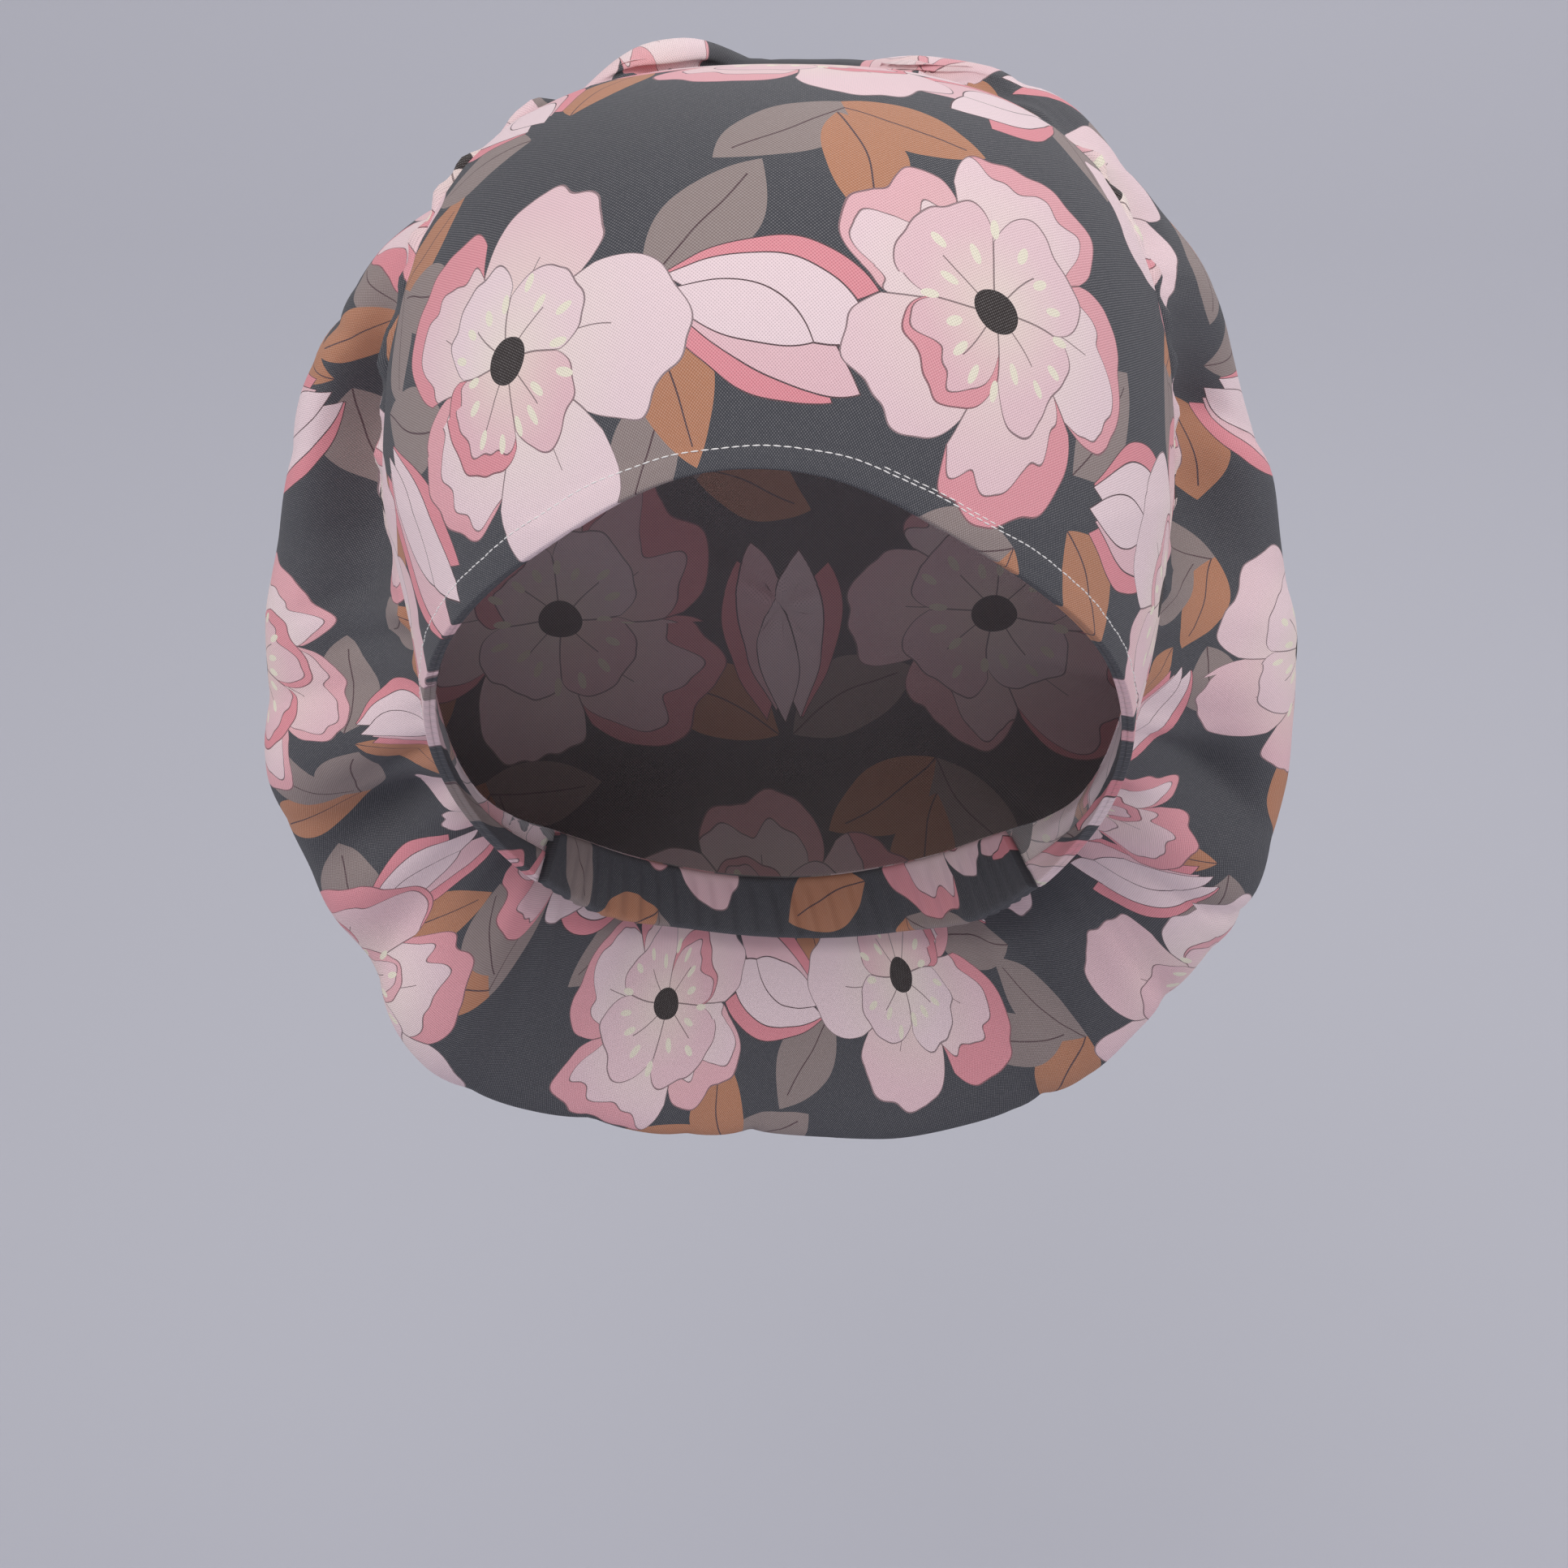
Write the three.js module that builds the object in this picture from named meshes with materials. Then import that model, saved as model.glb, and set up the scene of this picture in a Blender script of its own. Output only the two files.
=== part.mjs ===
// Scrub cap: a fitted front panel with a turned-in brow hem, a full gathered back and an elastic nape casing.
// Millimetres, +Z up, and the wearer looks along -Y. The origin is the top of the head that the cap fits.
import * as THREE from "three";
import { mergeVertices } from "three/addons/utils/BufferGeometryUtils.js";

// The head that the cap is cut for
const HEAD_WIDTH = 150;
const HEAD_LENGTH = 191;
const HEAD_CENTRE_BACK = 8; // from the ear line back to the middle of the head's length
const CROWN_HEIGHT = 80; // from the widest level of the head up to its top
const HEAD_ROUNDNESS_ACROSS = 2.1; // power of the oval seen from above
const HEAD_ROUNDNESS_UP = 2.8; // power of the dome seen from the side
const NECK_TAPER = 0.344; // narrowing over one head length below the widest level

// Cloth and seams
const FIT_EASE = 1.2;
const CLOTH_WALL = 1.3;
const SEAM_GAP = 0.3;
const CUT_GAP = 0.6; // between the solids of the gathered back
const CAP_TURN = 2.5; // degrees that the cap sits turned to the wearer's right

// Brow hem and nape casing
const BROW_DROP = 69; // from the top of the head to the hem over the nose
const HEM_HEIGHT = 7.5;
const HEM_WALL = 1.2;
const HEM_END = 0.1; // ribs that the hem stops short of the panel's end
const CASING_HEIGHT = 12.65; // at the middle of the nape
const CASING_WALL = 3;
const CASING_RIPPLE = 1.1;
const CASING_GATHERS = 13;

// The gathered back
const POUCH_RADIUS = 120; // middle to outline, seen from the front
const POUCH_MIDDLE_DROP = 118;
const POUCH_BACK = 139; // from the ear line to the back of the cap
const BACK_FULLNESS = 0.8; // under 1 the back is fuller than an ellipse
const TUCK_DEPTH = 62;
const GATHER_HEIGHT = 1.9;
const GATHERS_PER_RIB = 0.75;
const GATHER_REACH = 0.3; // share of the way from the seam to the back
const FOLD_START = 0.12; // share of that way in which the folds rise from the seam
const SEAM_LIE = 0.1; // share of that way in which the cloth turns from the head's face to its own
const OUTWARD_PULL = 0.7; // how straight the cloth leaves the seam for its outline
const BACKWARD_PULL = 0.9; // how straight it turns back at its outline
const FRONT_SHARE = 0.45; // share of the way at which the outline lies

const PANEL_COLOUR = 0x55585f;
const POUCH_COLOUR = 0xe3b9c2;
const HEM_COLOUR = 0x8e8d92;
const CASING_COLOUR = 0x9b9195;

// Ribs from the middle of the crown (first row) round one side to the middle of the nape (last row).
// seamSide, seamBack and seamUp are shares of the head's half width, half length and crown height, from its middle.
// hemTurn is in degrees from straight ahead, and hemFall is a share of the way from the brow hem to the nape hem.
// clock is in degrees from straight up, seen from the front. reach is a share of POUCH_RADIUS, depth of POUCH_BACK
// and tuck of TUCK_DEPTH.
const RIB_COLUMNS = ["seamSide", "seamBack", "seamUp", "hemTurn", "hemFall", "clock", "reach", "depth", "tuck"];
const RIBS = [
  [0.0, 0.2, 1.01, 0, 0.0, 0, 1.045, 0.38, 0.5],
  [0.34, 0.14, 1.0, 7, 0.012, 13, 1.05, 0.32, 0.45],
  [0.6, -0.04, 0.88, 14, 0.05, 26, 1.045, 0.25, 0.4],
  [0.78, -0.22, 0.68, 22, 0.11, 38, 1.02, 0.22, 0.5],
  [0.91, -0.26, 0.44, 31, 0.174, 50, 1.0, 0.26, 0.75],
  [0.97, -0.14, 0.17, 41, 0.244, 63, 0.963, 0.33, 1.0],
  [0.99, -0.08, -0.1, 51, 0.314, 77, 0.933, 0.39, 1.0],
  [0.96, -0.03, -0.37, 61, 0.388, 91, 0.948, 0.43, 0.9],
  [0.92, 0.08, -0.61, 74, 0.48, 105, 0.975, 0.48, 0.75],
  [0.87, 0.25, -0.8, 92, 0.595, 118, 0.996, 0.53, 0.6],
  [0.79, 0.45, -0.94, 112, 0.727, 130, 1.02, 0.58, 0.4],
  [0.7, 0.59, -1.02, 128, 0.835, 141, 1.067, 0.64, 0.25],
  [0.57, 0.71, -1.1, 142, 0.917, 152, 1.1, 0.7, 0.2],
  [0.31, 0.81, -1.16, 161, 0.975, 166, 1.085, 0.74, 0.2],
  [0.0, 0.84, -1.18, 180, 1.0, 180, 1.05, 0.76, 0.2],
].map((row) => Object.fromEntries(row.map((value, i) => [RIB_COLUMNS[i], value])));
const PANEL_END = 11; // the rib where the front panel ends and the nape casing starts
const CROWN_END = 4; // the rib where the gathered back's crown meets its side
const SIDE_END = 12; // the rib where its side meets its foot

// Main folds of the gathered back. rib counts from the crown, plus to the wearer's left; along runs from the seam
// (0) to the back (1); width is in ribs, length a share of the way along, and rise a share of POUCH_RADIUS.
const FOLDS = [
  { rib: -0.9, along: 0.24, width: 0.7, length: 0.16, rise: 0.055 },
  { rib: -2.1, along: 0.34, width: 0.8, length: 0.3, rise: -0.07 },
  { rib: -3.6, along: 0.4, width: 0.8, length: 0.3, rise: -0.02 },
  { rib: 1.7, along: 0.34, width: 0.8, length: 0.3, rise: 0.04 },
  { rib: 3.3, along: 0.2, width: 0.4, length: 0.16, rise: -0.045 },
  { rib: 4.6, along: 0.3, width: 0.7, length: 0.3, rise: -0.03 },
  { rib: 5.6, along: 0.16, width: 0.7, length: 0.14, rise: -0.05 },
  { rib: 8.2, along: 0.24, width: 0.45, length: 0.1, rise: -0.06 },
  { rib: 9.2, along: 0.36, width: 0.8, length: 0.24, rise: 0.035 },
  { rib: -5.4, along: 0.18, width: 1.1, length: 0.1, rise: -0.07 },
  { rib: -8.8, along: 0.21, width: 0.4, length: 0.11, rise: -0.07 },
  { rib: -8, along: 0.3, width: 0.5, length: 0.2, rise: 0.025 },
  { rib: -9.9, along: 0.32, width: 0.4, length: 0.14, rise: -0.04 },
  { rib: -11, along: 0.4, width: 0.9, length: 0.3, rise: 0.045 },
  { rib: 0, along: 0.7, width: 1.6, length: 0.2, rise: -0.05 },
  { rib: -5, along: 0.72, width: 1.2, length: 0.22, rise: -0.04 },
  { rib: 6, along: 0.7, width: 1.3, length: 0.22, rise: -0.045 },
  { rib: 12.2, along: 0.66, width: 0.8, length: 0.2, rise: -0.05 },
  { rib: -12.6, along: 0.66, width: 0.8, length: 0.2, rise: -0.05 },
];

const PANEL_STEPS_PER_RIB = 3;
const POUCH_STEPS_PER_RIB = 3;
const PANEL_STEPS_UP = 11;
const POUCH_STEPS_FRONT = 9;
const POUCH_STEPS_BACK = 10;
const CASING_STEPS_PER_RIB = 8;
const CASING_STEPS_UP = 3;
const SOLVER_ROUNDS = 14;
const SLOPE_STEP = 0.02; // ribs, and share along, over which a surface's direction is measured
const LAST_ALONG = 0.97; // past this the directions at the middle of the back run together

const allowance = FIT_EASE + CLOTH_WALL;
const form = {
  side: HEAD_WIDTH / 2 + allowance,
  back: HEAD_LENGTH / 2 + allowance,
  up: CROWN_HEIGHT + allowance,
  centre: new THREE.Vector3(0, HEAD_CENTRE_BACK, -CROWN_HEIGHT),
};
const lastRib = RIBS.length - 1;
const ribsRound = 2 * lastRib;
const napeDrop = CROWN_HEIGHT - RIBS[lastRib].seamUp * form.up + CASING_HEIGHT;

// How far out a place is, as a share of the cloth's outer face over the head: 1 is on it.
function shareOut(place) {
  const at = place.clone().sub(form.centre);
  const narrowing = at.z < 0 ? 1 + (NECK_TAPER * at.z) / HEAD_LENGTH : 1;
  const across =
    (Math.abs(at.x) / (form.side * narrowing)) ** HEAD_ROUNDNESS_ACROSS +
    (Math.abs(at.y) / (form.back * narrowing)) ** HEAD_ROUNDNESS_ACROSS;
  const flat = across ** (1 / HEAD_ROUNDNESS_ACROSS);
  const up = Math.max(at.z, 0) / form.up;
  return (flat ** HEAD_ROUNDNESS_UP + up ** HEAD_ROUNDNESS_UP) ** (1 / HEAD_ROUNDNESS_UP);
}

// The place on the cloth's outer face in line with another place, from the middle of the head.
function onHead(place) {
  const way = place.clone().sub(form.centre);
  const found = place.clone();
  for (let round = 0; round < SOLVER_ROUNDS; round++) {
    way.divideScalar(shareOut(found));
    found.copy(form.centre).add(way);
  }
  return found;
}

function headNormal(place) {
  const step = 0.05;
  const slope = (x, y, z) =>
    shareOut(place.clone().add(new THREE.Vector3(x, y, z))) - shareOut(place.clone().sub(new THREE.Vector3(x, y, z)));
  return new THREE.Vector3(slope(step, 0, 0), slope(0, step, 0), slope(0, 0, step)).normalize();
}

// The place on the head's cloth face at a height, turned by an angle from straight ahead.
function atHeight(turn, z) {
  const angle = THREE.MathUtils.degToRad(turn);
  const guess = new THREE.Vector3(Math.sin(angle), -Math.cos(angle), 0).multiplyScalar(form.side);
  guess.add(form.centre).setZ(z);
  for (let round = 0; round < SOLVER_ROUNDS; round++) {
    const size = shareOut(guess);
    guess.x /= size;
    guess.y = form.centre.y + (guess.y - form.centre.y) / size;
  }
  return guess;
}

function seamPoint(row, side) {
  return onHead(
    new THREE.Vector3(side * row.seamSide * form.side, row.seamBack * form.back, row.seamUp * form.up).add(form.centre),
  );
}

function hemPoint(row, side) {
  const drop = THREE.MathUtils.lerp(BROW_DROP, napeDrop, row.hemFall);
  return atHeight(side * row.hemTurn - CAP_TURN, -drop);
}

function bulgePoint(row, side) {
  const clock = THREE.MathUtils.degToRad(row.clock);
  const reach = row.reach * POUCH_RADIUS;
  return new THREE.Vector3(
    side * reach * Math.sin(clock),
    row.depth * POUCH_BACK,
    reach * Math.cos(clock) - POUCH_MIDDLE_DROP,
  );
}

// A closed curve through the same kind of point of every rib, once round the cap from the crown.
function ringOf(pointOf) {
  const points = [];
  for (let rib = 0; rib < ribsRound; rib++) {
    const side = rib <= lastRib ? 1 : -1;
    points.push(pointOf(RIBS[rib <= lastRib ? rib : ribsRound - rib], side));
  }
  return new THREE.CatmullRomCurve3(points, true, "catmullrom", 0.5);
}

const seamRing = ringOf(seamPoint);
const hemRing = ringOf(hemPoint);
const bulgeRing = ringOf(bulgePoint);
const tuckRing = ringOf((row) => new THREE.Vector3(0, row.tuck * TUCK_DEPTH, 0));

const roundShare = (rib) => (((rib % ribsRound) + ribsRound) % ribsRound) / ribsRound;

// The panel's and the casing's outer face, from the hem (up = 0) to the seam (up = 1).
function bandPoint(rib, up) {
  const share = roundShare(rib);
  return onHead(hemRing.getPoint(share).lerp(seamRing.getPoint(share), up));
}

function bandLength(rib) {
  const share = roundShare(rib);
  return hemRing.getPoint(share).distanceTo(seamRing.getPoint(share));
}

// The gathered back's outer face, from the seam (along = 0) to the middle of the back (along = 1).
function smoothPouchPoint(rib, along) {
  const share = roundShare(rib);
  const bulge = bulgeRing.getPoint(share);
  const middle = new THREE.Vector3(0, 0, -POUCH_MIDDLE_DROP);
  if (along >= FRONT_SHARE) {
    const angle = ((along - FRONT_SHARE) / (1 - FRONT_SHARE)) * (Math.PI / 2);
    const outward = bulge.clone().setY(0).sub(middle);
    outward.multiplyScalar(Math.max(Math.cos(angle), 0) ** BACK_FULLNESS);
    return outward.add(middle).setY(THREE.MathUtils.lerp(bulge.y, POUCH_BACK, Math.sin(angle) ** BACK_FULLNESS));
  }
  const t = along / FRONT_SHARE;
  const seam = onHead(seamRing.getPoint(share));
  const leave = bulge.clone().sub(seam).multiplyScalar(OUTWARD_PULL).add(tuckRing.getPoint(share));
  const arrive = new THREE.Vector3(0, BACKWARD_PULL * (POUCH_BACK - bulge.y), 0);
  return seam
    .clone()
    .multiplyScalar((1 + 2 * t) * (1 - t) ** 2)
    .addScaledVector(leave, t * (1 - t) ** 2)
    .addScaledVector(bulge, t * t * (3 - 2 * t))
    .addScaledVector(arrive, t * t * (t - 1));
}

const bell = (distance, width) => Math.exp(-((distance / width) ** 2));

function foldRise(rib, along) {
  const signed = rib > lastRib ? rib - ribsRound : rib;
  let rise = 0;
  for (const fold of FOLDS)
    rise += fold.rise * POUCH_RADIUS * bell(signed - fold.rib, fold.width) * bell(along - fold.along, fold.length);
  const gather = Math.sin(2 * Math.PI * GATHERS_PER_RIB * signed);
  const away = THREE.MathUtils.smoothstep(along, 0, GATHER_REACH / 2);
  rise += GATHER_HEIGHT * gather * away * bell(along, GATHER_REACH);
  return rise * THREE.MathUtils.smoothstep(along, 0, FOLD_START);
}

function faceNormal(pointAt, u, v) {
  const low = Math.max(v - SLOPE_STEP, 0);
  const high = v + SLOPE_STEP;
  const across = pointAt(u + SLOPE_STEP, v).sub(pointAt(u - SLOPE_STEP, v));
  const along = pointAt(u, high).sub(pointAt(u, low));
  return across.cross(along).normalize();
}

function pouchPoint(rib, along) {
  const place = smoothPouchPoint(rib, along);
  const rise = foldRise(((rib % ribsRound) + ribsRound) % ribsRound, along);
  if (rise === 0) return place;
  return place.addScaledVector(faceNormal(smoothPouchPoint, rib, Math.min(along, LAST_ALONG)), rise);
}

function pouchNormal(rib, along) {
  const seam = onHead(seamRing.getPoint(roundShare(rib)));
  const own = faceNormal(pouchPoint, rib, Math.min(along, LAST_ALONG));
  return headNormal(seam).lerp(own, THREE.MathUtils.smoothstep(along, 0, SEAM_LIE)).normalize();
}

// A closed cloth wall bent from a flat block: placeAt takes the shares across and up, and 0 outside or 1 inside.
function strip(stepsAcross, stepsUp, placeAt) {
  const block = new THREE.BoxGeometry(1, 1, 1, stepsAcross, stepsUp, 1);
  return bent(block, (x, y, z) => placeAt(x + 0.5, y + 0.5, 0.5 - z));
}

function bent(block, placeAt) {
  block.deleteAttribute("normal");
  block.deleteAttribute("uv");
  const solid = mergeVertices(block, 1e-4);
  const corners = solid.attributes.position;
  for (let i = 0; i < corners.count; i++) {
    const place = placeAt(corners.getX(i), corners.getY(i), corners.getZ(i));
    corners.setXYZ(i, place.x, place.y, place.z);
  }
  return facingOut(solid);
}

// Turns a closed surface's faces round where they point inwards.
function facingOut(solid) {
  const corner = [new THREE.Vector3(), new THREE.Vector3(), new THREE.Vector3()];
  const index = solid.index.array;
  let volume = 0;
  for (let i = 0; i < index.length; i += 3) {
    corner.forEach((c, k) => c.fromBufferAttribute(solid.attributes.position, index[i + k]));
    volume += corner[0].dot(corner[1].clone().cross(corner[2]));
  }
  if (volume < 0)
    for (let i = 0; i < index.length; i += 3) [index[i + 1], index[i + 2]] = [index[i + 2], index[i + 1]];
  solid.computeVertexNormals();
  return solid;
}

// The fitted front panel, from the hem up to the seam, over the head from one end of the casing to the other.
function frontPanel() {
  return strip(2 * PANEL_END * PANEL_STEPS_PER_RIB, PANEL_STEPS_UP, (across, up, inside) => {
    const endGap = SEAM_GAP / bandLength(PANEL_END);
    const rib = THREE.MathUtils.lerp(-PANEL_END + endGap, PANEL_END - endGap, across);
    const place = bandPoint(rib, up * (1 - SEAM_GAP / bandLength(rib)));
    return place.addScaledVector(headNormal(place), -inside * CLOTH_WALL);
  });
}

// The brow hem: the edge turned in behind the panel and stitched down.
function browHem() {
  return strip(2 * PANEL_END * PANEL_STEPS_PER_RIB, 1, (across, up, inside) => {
    const rib = THREE.MathUtils.lerp(-PANEL_END + HEM_END, PANEL_END - HEM_END, across);
    const place = bandPoint(rib, (up * HEM_HEIGHT) / bandLength(rib));
    return place.addScaledVector(headNormal(place), -CLOTH_WALL - SEAM_GAP - inside * HEM_WALL);
  });
}

// The nape casing: a doubled, gathered strip with the elastic inside, under the middle of the gathered back.
function napeCasing() {
  const ribsHeld = ribsRound - 2 * PANEL_END;
  return strip(ribsHeld * CASING_STEPS_PER_RIB, CASING_STEPS_UP, (across, up, inside) => {
    const endGap = SEAM_GAP / bandLength(PANEL_END);
    const rib = THREE.MathUtils.lerp(PANEL_END + endGap, ribsRound - PANEL_END - endGap, across);
    const place = bandPoint(rib, up * (1 - SEAM_GAP / bandLength(rib)));
    const held = Math.sin(Math.PI * across) ** 0.5 * Math.sin(Math.PI * Math.min(2 * (1 - up), 1));
    const ripple = CASING_RIPPLE * held * Math.sin(2 * Math.PI * CASING_GATHERS * across);
    return place.addScaledVector(headNormal(place), ripple - inside * CASING_WALL);
  });
}

// The gathered back's outer face (inside = 0) or inner face (inside = 1).
function pouchWall(rib, along, inside) {
  return pouchPoint(rib, along).addScaledVector(pouchNormal(rib, along), -inside * CLOTH_WALL);
}

// The gathered back is one bag of cloth. Its solid is in five pieces, a small gap apart: crown, two sides and foot
// from the seam to the outline, and the back.
const halfGap = CUT_GAP / 2;
const gapInRibs = (halfGap * ribsRound) / (2 * Math.PI * POUCH_RADIUS);
const gapAlong = (halfGap * FRONT_SHARE) / POUCH_RADIUS;

function pouchFront(firstRib, endRib) {
  return strip((endRib - firstRib) * POUCH_STEPS_PER_RIB, POUCH_STEPS_FRONT, (across, up, inside) => {
    const rib = THREE.MathUtils.lerp(firstRib + gapInRibs, endRib - gapInRibs, across);
    return pouchWall(rib, up * (FRONT_SHARE - gapAlong), inside);
  });
}

function pouchBack() {
  const profile = [];
  for (let step = POUCH_STEPS_BACK; step >= 0; step--) profile.push({ step, inside: 0 });
  for (let step = 0; step <= POUCH_STEPS_BACK; step++) profile.push({ step, inside: 1 });
  const around = ribsRound * POUCH_STEPS_PER_RIB;
  const outline = profile.map(({ step }, i) => new THREE.Vector2(step === POUCH_STEPS_BACK ? 0 : 1, i));
  const block = new THREE.LatheGeometry(outline, around);
  const corners = block.attributes.position;
  for (let segment = 0; segment <= around; segment++)
    profile.forEach(({ step, inside }, i) => {
      const rib = (segment % around) / POUCH_STEPS_PER_RIB;
      const along = THREE.MathUtils.lerp(FRONT_SHARE + gapAlong, 1, step / POUCH_STEPS_BACK);
      const atMiddle = new THREE.Vector3(0, POUCH_BACK - inside * CLOTH_WALL, -POUCH_MIDDLE_DROP);
      const place = step === POUCH_STEPS_BACK ? atMiddle : pouchWall(rib, along, inside);
      corners.setXYZ(segment * profile.length + i, place.x, place.y, place.z);
    });
  block.deleteAttribute("normal");
  block.deleteAttribute("uv");
  return facingOut(withoutSlivers(mergeVertices(block, 1e-4)));
}

// Drops the faces of no area that a lathe leaves where its outline meets the axis.
function withoutSlivers(solid) {
  const index = solid.index.array;
  const kept = [];
  for (let i = 0; i < index.length; i += 3) {
    const [a, b, c] = index.slice(i, i + 3);
    if (a !== b && b !== c && a !== c) kept.push(a, b, c);
  }
  return solid.setIndex(kept);
}

function cloth(colour) {
  return new THREE.MeshStandardMaterial({ color: colour, roughness: 0.9, metalness: 0, side: THREE.DoubleSide });
}

function named(name, geometry, colour) {
  const mesh = new THREE.Mesh(geometry, cloth(colour));
  mesh.name = name;
  return mesh;
}

const cap = new THREE.Group();
cap.add(
  named("front_panel", frontPanel(), PANEL_COLOUR),
  named("brow_hem", browHem(), HEM_COLOUR),
  named("pouch_crown", pouchFront(-CROWN_END, CROWN_END), POUCH_COLOUR),
  named("pouch_left", pouchFront(CROWN_END, SIDE_END), POUCH_COLOUR),
  named("pouch_right", pouchFront(-SIDE_END, -CROWN_END), POUCH_COLOUR),
  named("pouch_foot", pouchFront(SIDE_END, ribsRound - SIDE_END), POUCH_COLOUR),
  named("pouch_back", pouchBack(), POUCH_COLOUR),
  named("nape_casing", napeCasing(), CASING_COLOUR),
);

export default cap;
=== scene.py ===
# %% [markdown]
# # A scrub cap, in its worn shape
# The cap is plain-woven printed cotton: a fitted front panel whose brow edge is turned in and stitched,
# a full back gathered to it, and an elastic casing at the nape. The solid model comes first and gives
# every size its place. Each cloth piece is then rebuilt here with its folds, gathers, weave and print.

# %% Load the solid model
import math

import bpy
import numpy as np
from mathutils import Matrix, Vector


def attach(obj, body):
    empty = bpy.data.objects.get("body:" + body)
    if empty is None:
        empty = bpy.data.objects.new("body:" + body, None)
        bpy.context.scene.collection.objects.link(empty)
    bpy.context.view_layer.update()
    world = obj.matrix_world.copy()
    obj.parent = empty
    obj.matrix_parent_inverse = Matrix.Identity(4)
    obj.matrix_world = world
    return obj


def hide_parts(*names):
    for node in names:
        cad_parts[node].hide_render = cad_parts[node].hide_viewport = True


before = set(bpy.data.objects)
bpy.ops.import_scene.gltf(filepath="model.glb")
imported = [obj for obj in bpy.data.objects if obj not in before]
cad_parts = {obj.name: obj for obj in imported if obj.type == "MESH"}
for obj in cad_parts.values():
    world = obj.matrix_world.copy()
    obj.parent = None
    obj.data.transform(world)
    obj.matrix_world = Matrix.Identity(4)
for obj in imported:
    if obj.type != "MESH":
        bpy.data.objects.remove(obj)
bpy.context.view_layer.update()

# %% [markdown]
# ## Camera
# The photograph was taken from the front, a little above the brow, with a slightly long lens. The
# picture is square, so the lens comes straight from the focal length in picture widths.

# %% Place the camera
PICTURE_SIDE = 1932
FOCAL_PIXELS = 3600
CAMERA_PLACE = Vector((0.0007, -0.580, -0.036))
CAMERA_DROP = math.radians(10)

camera = bpy.data.objects.new("camera", bpy.data.cameras.new("camera"))
bpy.context.scene.collection.objects.link(camera)
camera.location = CAMERA_PLACE
camera.rotation_euler = (math.radians(90) - CAMERA_DROP, 0, 0)
camera.data.sensor_width = 36
camera.data.lens = camera.data.sensor_width * FOCAL_PIXELS / PICTURE_SIDE
bpy.context.scene.camera = camera
bpy.context.scene.view_settings.view_transform = "Standard"
print("lens", round(camera.data.lens, 1), "mm")

# %% [markdown]
# ## Sizes of the cap
# The cloth follows the head that the cap is cut for: an oval seen from above, a dome seen from the
# side. The ribs below are the cap's own pattern lines. Each one runs from the hem to the gathering seam
# and on over the full back, and the rows go from the middle of the crown round to the middle of the
# nape.

# %% Name the sizes, in metres
MM = 0.001
CLOTH_WALL = 1.3 * MM
SEAM_GAP = 0.3 * MM
EASE = 1.2 * MM
HEAD_SIDE = 75 * MM + EASE + CLOTH_WALL
HEAD_BACK = 95.5 * MM + EASE + CLOTH_WALL
HEAD_UP = 80 * MM + EASE + CLOTH_WALL
HEAD_MIDDLE = np.array([0, 8, -80]) * MM
ROUND_ACROSS = 2.1
ROUND_UP = 2.8
NECK_TAPER = 1.8
CAP_TURN = 2.5
BROW_DROP = 69 * MM
NAPE_DROP = 190 * MM
HEM_HEIGHT = 7.5 * MM
HEM_WALL = 1.2 * MM
CASING_WALL = 3 * MM
POUCH_RADIUS = 120 * MM
POUCH_DROP = 118 * MM
POUCH_BACK = 139 * MM
BACK_FULLNESS = 0.8
LEAVE_PULL = 0.7
ARRIVE_PULL = 0.9
TUCK_DEPTH = 62 * MM
FRONT_SHARE = 0.45

# seam side, seam back, seam up, hem turn, hem fall, clock, reach, depth, tuck
RIBS = np.array([
    [0.00, 0.20, 1.01, 0, 0.000, 0, 1.045, 0.38, 0.50],
    [0.34, 0.14, 1.00, 7, 0.012, 13, 1.050, 0.32, 0.45],
    [0.60, -0.04, 0.88, 14, 0.050, 26, 1.045, 0.25, 0.40],
    [0.78, -0.22, 0.68, 22, 0.110, 38, 1.020, 0.22, 0.50],
    [0.91, -0.26, 0.44, 31, 0.174, 50, 1.000, 0.26, 0.75],
    [0.97, -0.14, 0.17, 41, 0.244, 63, 0.963, 0.33, 1.00],
    [0.99, -0.08, -0.10, 51, 0.314, 77, 0.933, 0.39, 1.00],
    [0.96, -0.03, -0.37, 61, 0.388, 91, 0.948, 0.43, 0.90],
    [0.92, 0.08, -0.61, 74, 0.480, 105, 0.975, 0.48, 0.75],
    [0.87, 0.25, -0.80, 92, 0.595, 118, 0.996, 0.53, 0.60],
    [0.79, 0.45, -0.94, 112, 0.727, 130, 1.020, 0.58, 0.40],
    [0.70, 0.59, -1.02, 128, 0.835, 141, 1.067, 0.64, 0.25],
    [0.57, 0.71, -1.10, 142, 0.917, 152, 1.100, 0.70, 0.20],
    [0.31, 0.81, -1.16, 161, 0.975, 166, 1.085, 0.74, 0.20],
    [0.00, 0.84, -1.18, 180, 1.000, 180, 1.050, 0.76, 0.20],
])
PANEL_END = 11
LAST_RIB = len(RIBS) - 1
RIBS_ROUND = 2 * LAST_RIB
print(len(RIBS), "ribs a side")

# %% [markdown]
# ## The head form
# A point is pushed in or out along its line from the middle of the head until it lies on the cloth's
# outer face. The formula has no direct answer below the ears, where the form narrows, so a few rounds
# of dividing by the error find it.

# %% Put points on the head form
SOLVE_ROUNDS = 14


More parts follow.
